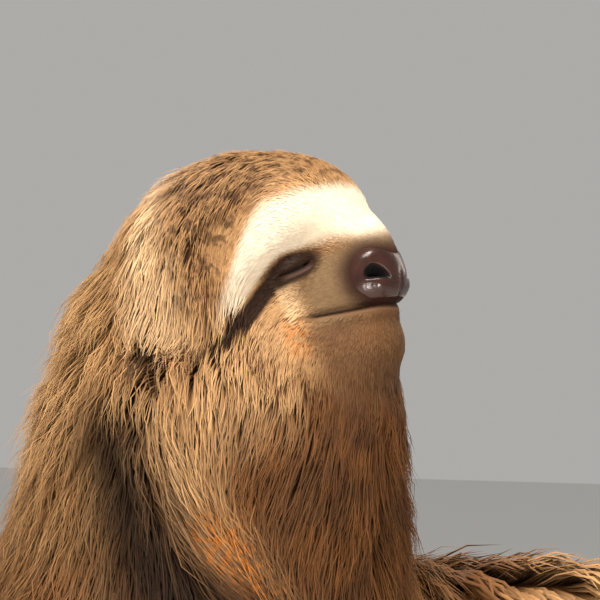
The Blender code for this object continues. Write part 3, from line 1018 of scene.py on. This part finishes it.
def hair_mesh(name, kind, hair, chosen):
    """The chosen hairs as one mesh: each a closed tapering tuft with three sides."""
    rows, ups = hair["rows"][:, chosen], hair["ups"][:, chosen]
    segments, count = kind.segments, len(chosen)
    per_hair = segments * 3 + 1
    run = np.empty_like(rows)
    run[1:-1] = rows[2:] - rows[:-2]
    run[0] = rows[1] - rows[0]
    run[-1] = rows[-1] - rows[-2]
    run = unit(run)
    side = unit(np.cross(run, ups))
    up = np.cross(side, run)
    verts, own = np.empty((2, count, per_hair, 3))
    for i, wide in enumerate(PROFILE[segments]):
        half = (hair["width"][chosen] * wide / 2)[:, None]
        rise = (hair["thickness"][chosen] * wide)[:, None]
        corners = ((-half, side[i], -side[i]), (half, side[i], side[i]), (rise, up[i], up[i]))
        for k, (reach, way, normal) in enumerate(corners):
            verts[:, i * 3 + k] = rows[i] + way * reach
            own[:, i * 3 + k] = normal
    verts[:, -1], own[:, -1] = rows[-1], up[-1]
    starts = (np.arange(count) * per_hair)[:, None, None]
    faces = (tuft_faces(segments)[None] + starts).reshape(-1, 3)
    mesh = new_mesh(name, verts.reshape(-1, 3), faces)
    of_skin = ups[np.append(np.repeat(np.arange(segments), 3), segments)].transpose(1, 0, 2)
    mesh.normals_split_custom_set_from_vertices(unit(mix(of_skin, own, kind.own)).reshape(-1, 3))

    along = np.append(np.repeat(np.arange(segments) / segments, 3), 1.0)
    across = np.append(np.tile((0.0, 1.0, 0.5), segments), 0.5)
    strand, lock = hair["strand"][chosen][:, None], hair["lock"][chosen][:, None]
    tuft = np.stack(np.broadcast_arrays(strand, lock, along, across), axis=2)
    set_field(mesh, "tuft", tuft.reshape(-1, 4))
    marks = markings(hair["marks_at"][chosen])
    set_markings(mesh, {key: np.repeat(value, per_hair) for key, value in marks.items()})
    patch = np.stack((across - 0.5, along - 0.5), axis=1) * PATCH
    places = (hair["place"][chosen][:, None] + patch[None]).reshape(-1, 2)
    layer = mesh.uv_layers.new(name="OFBake")
    layer.data.foreach_set("uv", places[faces.ravel()].astype(np.float32).ravel())
    return mesh


# ---- materials


class Nodes:
    """Short ways to build a material's node tree."""

    def __init__(self, name, roughness, specular):
        self.material = bpy.data.materials.new(name)
        self.material.use_nodes = True
        self.tree = self.material.node_tree
        self.shader = self.tree.nodes["Principled BSDF"]
        self.shader.inputs["Roughness"].default_value = roughness
        self.shader.inputs["Specular IOR Level"].default_value = specular

    def node(self, kind, **values):
        made = self.tree.nodes.new(kind)
        for key, value in values.items():
            setattr(made, key, value)
        return made

    def give(self, socket, value):
        """Sets a socket to a number or a colour, or links another socket to it."""
        if isinstance(value, bpy.types.NodeSocket):
            self.tree.links.new(value, socket)
        else:
            socket.default_value = (*value, 1) if isinstance(value, tuple) else value

    def field(self, name):
        """Reads one of the fields kept with the vertices."""
        return self.node("ShaderNodeAttribute", attribute_name=name)

    def channels(self, name):
        """The four numbers of a field."""
        read = self.field(name)
        split = self.node("ShaderNodeSeparateColor")
        self.give(split.inputs[0], read.outputs["Color"])
        return [*split.outputs, read.outputs["Alpha"]]

    def marks(self):
        """The markings, by name."""
        found = {}
        for field, names in MARK_FIELDS.items():
            found |= dict(zip(names, self.channels(field)))
        return found

    def blend(self, share, a, b, mode="MIX"):
        made = self.node("ShaderNodeMix", data_type="RGBA", blend_type=mode)
        for value, index in ((share, 0), (a, 6), (b, 7)):
            self.give(made.inputs[index], value)
        return made.outputs[2]

    def maths(self, kind, a, b, clamp=False):
        made = self.node("ShaderNodeMath", operation=kind, use_clamp=clamp)
        self.give(made.inputs[0], a)
        self.give(made.inputs[1], b)
        return made.outputs[0]

    def times(self, a, b):
        return self.maths("MULTIPLY", a, b)

    def texture(self, kind, scale):
        made = self.node(kind)
        made.inputs["Scale"].default_value = scale
        self.give(made.inputs["Vector"], self.node("ShaderNodeTexCoord").outputs["Object"])
        return made

    def noise(self, scale, detail, roughness=0.5):
        made = self.texture("ShaderNodeTexNoise", scale)
        made.inputs["Detail"].default_value = detail
        made.inputs["Roughness"].default_value = roughness
        return made.outputs[0]

    def range(self, value, low, high, to_low=0.0, to_high=1.0):
        """The value turned from one range to another."""
        made = self.node("ShaderNodeMapRange")
        for k, number in enumerate((value, low, high, to_low, to_high)):
            self.give(made.inputs[k], number)
        return made.outputs[0]

    def bumps(self, height, strength, distance):
        made = self.node("ShaderNodeBump")
        made.inputs["Strength"].default_value = strength
        made.inputs["Distance"].default_value = distance
        self.give(made.inputs["Height"], height)
        self.give(self.shader.inputs["Normal"], made.outputs[0])

    def colour(self, socket):
        self.give(self.shader.inputs["Base Color"], socket)


def linear(*colour):
    """A colour as a screen shows it, from 0 to 255, turned to the light it stands for."""
    return tuple(((c / 255 + 0.055) / 1.055) ** 2.4 if c > 10 else c / 255 / 12.92 for c in colour)


TAN, TAN_TIP = linear(164, 119, 74), linear(206, 163, 112)
BROWN, ROOT = linear(118, 76, 42), linear(66, 40, 22)
CREAM, CREAM_SHADE = linear(231, 215, 191), linear(220, 190, 148)
# the throat's colours are its own brown darkened with painted shade under the chin
THROAT, THROAT_TIP = linear(62, 33, 13), linear(102, 62, 29)
# a near-black painted shade inside the nostrils
NOSE_DARK, NOSE_LIGHT, NOSTRIL_SHADE = linear(42, 22, 16), linear(58, 31, 23), linear(5, 4, 4)
EYE_DARK, EYE_LIGHT = linear(20, 11, 8), linear(46, 26, 16)
HORN_DARK, HORN_LIGHT = linear(138, 112, 78), linear(188, 164, 124)


def coat_colours(nodes, marks, base):
    """Lays the markings over a base colour; the skin and the coat both use it."""
    patches = nodes.range(nodes.noise(55, 3), 0.35, 0.65)
    speckle = nodes.range(nodes.noise(290, 2), 0.49, 0.6)
    tufted = nodes.range(nodes.noise(120, 2), 0.3, 0.6, 0.6, 1.0)
    streaks = nodes.range(nodes.noise(420, 2), 0.42, 0.6)
    layers = (  # where, how strongly, in what colour
        (patches, 0.4, BROWN),
        # the throat's own brown with painted shade under the chin
        (marks["throat"], 0.93, nodes.blend(patches, THROAT, THROAT_TIP)),
        (marks["crown"], 0.6, linear(146, 108, 70)),
        (nodes.times(marks["crown"], speckle), 0.68, ROOT),
        (nodes.times(marks["pale"], tufted), 1.0, linear(232, 194, 148)),
        (nodes.times(marks["rust"], streaks), 1.0, linear(186, 112, 46)),
        (marks["cream"], 1.0, nodes.blend(nodes.times(patches, 0.35), CREAM, CREAM_SHADE)),
        (marks["muzzle"], 0.85, linear(114, 92, 67)),
        (marks["chin"], 0.85, linear(88, 60, 38)),
        # painted shade in the parting on the neck, near black
        (marks["gap"], 0.95, linear(24, 14, 8)),
        (marks["lip"], 0.8, linear(118, 88, 66)),
        # the ring round the eye in this layer is partly dark skin and partly painted shade of the brow
        (marks["dark"], 0.97, linear(34, 19, 12)),
        (marks["bare"], 1.0, NOSE_DARK),
        (marks["lid"], 1.0, linear(80, 60, 54)),
    )
    colour = base
    for where, strength, paint in layers:
        colour = nodes.blend(nodes.times(where, strength), colour, paint)
    return colour


def coat_material(kind):
    nodes = Nodes(kind.name + "_hair", roughness=0.55, specular=0.14)
    strand, lock, along = nodes.channels("tuft")[:3]
    marks = nodes.marks()
    base = nodes.blend(along, TAN, TAN_TIP)
    base = nodes.blend(nodes.range(lock, 0.3, 1.0, 0.0, 0.5), base, BROWN)
    colour = coat_colours(nodes, marks, base)
    # darker at the root and uneven from hair to hair, but less so on the cream and the muzzle
    even = nodes.maths("ADD", nodes.times(marks["cream"], 0.75), nodes.times(marks["muzzle"], 0.5))
    plain = nodes.maths("SUBTRACT", 1.0, even, clamp=True)
    shade = nodes.times(nodes.range(along, 0.0, 0.45, kind.root_shade, 0.0), plain)
    colour = nodes.blend(shade, colour, ROOT, "MULTIPLY")
    uneven = nodes.times(nodes.range(strand, 0, 1, -0.22, 0.18), plain)
    value = nodes.node("ShaderNodeHueSaturation")
    nodes.give(value.inputs["Color"], colour)
    nodes.give(value.inputs["Value"], nodes.maths("ADD", uneven, 1.0))
    nodes.colour(value.outputs[0])
    return nodes.material


def skin_material():
    """As dark as the roots of the coat, but in the coat's own colours where it is short."""
    nodes = Nodes("sloth_skin", roughness=0.9, specular=0.1)
    marks = nodes.marks()
    colour = coat_colours(nodes, marks, BROWN)
    brown = nodes.maths("ADD", marks["muzzle"], marks["chin"])
    short = nodes.maths("ADD", brown, nodes.maths("ADD", marks["cream"], marks["dark"]), clamp=True)
    shaded = nodes.blend(0.5, colour, ROOT, "MULTIPLY")
    nodes.colour(nodes.blend(short, shaded, colour))
    nodes.bumps(nodes.noise(2400, 3), 0.15, 0.0005)
    return nodes.material


def nose_material():
    """Moist pebbled leather, with painted shade inside the nostrils, which are also dull."""
    nodes = Nodes("sloth_nose", roughness=0.3, specular=0.38)
    leather_colour = nodes.blend(nodes.range(nodes.noise(160, 3), 0.35, 0.65), NOSE_DARK, NOSE_LIGHT)
    pit = nodes.field("pit").outputs["Fac"]
    nodes.colour(nodes.blend(nodes.range(pit, 0.02, 0.3), leather_colour, NOSTRIL_SHADE))
    shine = nodes.range(nodes.noise(500, 2), 0.3, 0.7, 0.2, 0.26)
    rough = nodes.maths("ADD", shine, nodes.range(pit, 0.05, 0.3, 0.0, 0.7))
    nodes.give(nodes.shader.inputs["Roughness"], rough)
    nodes.bumps(nodes.texture("ShaderNodeTexVoronoi", 1300).outputs["Distance"], 0.08, 0.0004)
    return nodes.material


def eye_material():
    nodes = Nodes("sloth_eye", roughness=0.22, specular=0.35)
    nodes.colour(nodes.blend(nodes.range(nodes.noise(220, 2), 0.4, 0.6), EYE_DARK, EYE_LIGHT))
    return nodes.material


def claw_material():
    nodes = Nodes("sloth_claw", roughness=0.34, specular=0.5)
    tint = nodes.range(nodes.noise(110, 4, 0.6), 0.35, 0.68)
    nodes.colour(nodes.blend(tint, HORN_DARK, HORN_LIGHT))
    nodes.bumps(nodes.noise(500, 4), 0.15, 0.0004)
    return nodes.material


# ---- nose, eyes and claws


def sculpted_nose():
    """Bare leather round two comma-shaped nostrils, which sinks into the skin at its border."""
    mesh = ball(7)
    local = seen_from(NOSE_CORE, points_of(mesh), NOSE_REACH)
    x, y, z = (local - NOSE).T
    front = ramp(-3, 1, x)
    pit, along = nostril(local)
    bare = leather(one_side(local))
    rim_above = bump(0, 2.8, z - 5.2) * bump(0, 4.5, along - 0.3) * front
    rim_below = bump(0, 2.6, np.hypot(along + 0.4, z + 4.8)) * front
    groove = bump(0, 1.0, y) * front * ramp(1, -4, z)
    swell = mix(-0.9, 0.2, bare) - 2.2 * ramp(0.25, 0.0, bare)
    swell += 0.9 * rim_above + 0.9 * rim_below - (NOSTRIL_DEPTH - 1.5) * pit - 0.35 * groove
    out = unit(face_slope(local)[1])
    set_points(mesh, from_head(local + out * swell[:, None]))
    set_field(mesh, "pit", pit)
    mesh.shade_smooth()
    nose = add("nose_pad", mesh)
    nose.data.materials.append(nose_material())
    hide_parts("nose")
    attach(nose, "root")


def make_eyes():
    glossy = eye_material()
    size = dict(u_segments=48, v_segments=24, radius=(EYE_RADIUS - 0.1) * MM)
    for side in ("left", "right"):
        mesh = built(f"eyeball_{side}", lambda work: bmesh.ops.create_uvsphere(work, **size))
        set_points(mesh, points_of(mesh) + middle(f"eye_{side}"))
        mesh.shade_smooth()
        eye = add(f"eyeball_{side}", mesh)
        mesh.materials.append(glossy)
        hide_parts(f"eye_{side}")
        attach(eye, "root")


def welded(mesh):
    """A copy of a faceted mesh whose triangles share their corners."""

    def make(work):
        work.from_mesh(mesh)
        bmesh.ops.remove_doubles(work, verts=work.verts, dist=0.01 * MM)

    return built(mesh.name, make)


def make_claws():
    """Smooth horn on the shape of each packed claw."""
    horn = claw_material()
    for node in CLAWS:
        mesh = welded(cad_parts[node].data)
        mesh.materials.append(horn)
        claw = add(node + "_horn", mesh)
        smooth = claw.modifiers.new("Smooth", "SUBSURF")
        smooth.levels = smooth.render_levels = 2
        claw = settled(claw)
        claw.data.shade_smooth()
        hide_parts(node)
        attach(claw, "root")


# ---- stage


def make_stage():
    floor = add("floor", built("floor", lambda work: bmesh.ops.create_grid(work, size=6)))
    nodes = Nodes("floor_paint", roughness=0.9, specular=0.2)
    nodes.shader.inputs["Base Color"].default_value = (0.78, 0.77, 0.75, 1)
    floor.data.materials.append(nodes.material)


def add_facing(name, data, target, azimuth, elevation, distance):
    """A lamp or a camera at a distance from a target, looking at it."""
    obj = add(name, data)
    a, e = math.radians(azimuth), math.radians(elevation)
    away = Vector((math.sin(a) * math.cos(e), -math.cos(a) * math.cos(e), math.sin(e)))
    obj.location = target + away * distance
    obj.rotation_euler = away.to_track_quat("Z", "Y").to_euler()
    return obj


LAMPS = (  # name, azimuth and elevation in degrees, distance, size, watts, colour
    ("key", -58, 56, 1.2, 0.55, 15, (1.0, 0.95, 0.86)),
    ("front", -46, -12, 1.2, 0.16, 6, (1.0, 0.93, 0.86)),
    ("top", -33, 73, 1.2, 0.38, 12, (1.0, 0.94, 0.88)),
    ("fill", -100, 25, 1.6, 1.3, 11, (1.0, 0.97, 0.93)),
    ("side", 70, 20, 1.6, 0.8, 6, (1.0, 0.9, 0.8)),
    ("rim", 165, 50, 1.5, 0.6, 11, (1.0, 0.95, 0.88)),
)


def make_lights():
    bpy.context.scene.view_settings.view_transform = "Standard"
    world = bpy.data.worlds.new("studio")
    world.use_nodes = True
    world.node_tree.nodes["Background"].inputs["Color"].default_value = (0.93, 0.91, 0.88, 1)
    world.node_tree.nodes["Background"].inputs["Strength"].default_value = 0.45
    bpy.context.scene.world = world
    for name, azimuth, elevation, distance, size, energy, colour in LAMPS:
        data = bpy.data.lights.new(name, "AREA")
        data.energy, data.size, data.color = energy, size, colour
        lamp = add_facing(name, data, Vector(HEAD_MIDDLE), azimuth, elevation, distance)
        lamp.visible_glossy = name != "fill"


VIEW_AZIMUTH, VIEW_DISTANCE, VIEW_WIDTH = -60, 1.1, 0.180
VIEW_SHIFT = (-0.0309, -0.006)  # of the frame's middle, right of and above the tip of the nose
FILM_WIDTH = 36


def make_camera():
    angle = math.radians(VIEW_AZIMUTH)
    right = Vector((math.cos(angle), math.sin(angle), 0))
    target = Vector(from_head(NOSE_TIP)) + right * VIEW_SHIFT[0] + Vector((0, 0, VIEW_SHIFT[1]))
    data = bpy.data.cameras.new("camera")
    data.sensor_width = FILM_WIDTH
    data.lens = FILM_WIDTH * VIEW_DISTANCE / VIEW_WIDTH
    data.clip_start, data.clip_end = 0.01, 20
    bpy.context.scene.camera = add_facing("camera", data, target, VIEW_AZIMUTH, 0, VIEW_DISTANCE)


# ---- the whole model

MOST_TRIANGLES = 190000  # in one piece of the coat
# Hairs per square millimetre
FACE_HAIRS, HEAD_HAIRS, BODY_HAIRS = 5.0, 0.96, 0.082
LIMB_HAIRS = {"hand": 0.34, "foot": 0.34, "upper": 0.3, "forearm": 0.22, "thigh": 0.13, "shin": 0.19}


def unwrap(obj):
    """Lays the skin out flat, as the map that each hair's patch has its place on."""
    bpy.context.view_layer.objects.active = obj
    obj.select_set(True)
    obj.data.uv_layers.new(name="OFBake")
    bpy.ops.object.mode_set(mode="EDIT")
    bpy.ops.mesh.select_all(action="SELECT")
    bpy.ops.uv.smart_project(angle_limit=math.radians(66), island_margin=0.001)
    bpy.ops.object.mode_set(mode="OBJECT")


def add_coat(kind, hair):
    """Splits one kind of hair into joined pieces that are each small enough."""
    per_hair = len(tuft_faces(kind.segments))
    order = np.argsort(hair["node"], kind="stable")
    pieces = math.ceil(len(order) * per_hair / MOST_TRIANGLES)
    coat = coat_material(kind)
    for i, chosen in enumerate(np.array_split(order, pieces)):
        mesh = hair_mesh(f"{kind.name}_{i + 1}", kind, hair, chosen)
        mesh.materials.append(coat)
        piece = add(mesh.name, mesh)
        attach(piece, "root")


def make_coat(surface):
    """Short hair on the face, finer hair on head, neck and upper chest, and the body's own."""
    on = {part: surface.nodes == FLESH.index(part) for part in ("head", "neck", "chest")}
    short = ramp(8.5, 5.5, surface.length) * on["head"]
    upper_chest = on["chest"] * ramp(0.24, 0.28, surface.points[:, 2])
    close = np.clip(on["head"] + 0.95 * on["neck"] + upper_chest, 0, 1)
    body = np.array([LIMB_HAIRS.get(node.split("_")[0], BODY_HAIRS) for node in FLESH])[surface.nodes]
    densities = (FACE_HAIRS * short, HEAD_HAIRS * close * (1 - short), body * (1 - close))
    for kind, density in zip(KINDS, densities):
        add_coat(kind, grow(surface, kind, density[surface.tris].mean(axis=1)))


skin, outline = make_skin()
unwrap(skin)
set_markings(skin.data, markings(points_of(skin.data)))
skin.data.materials.clear()
skin.data.materials.append(skin_material())
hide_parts(*FLESH)
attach(skin, "root")
make_coat(Surface(skin.data, outline))
sculpted_nose()
make_eyes()
make_claws()
make_stage()
make_lights()
make_camera()
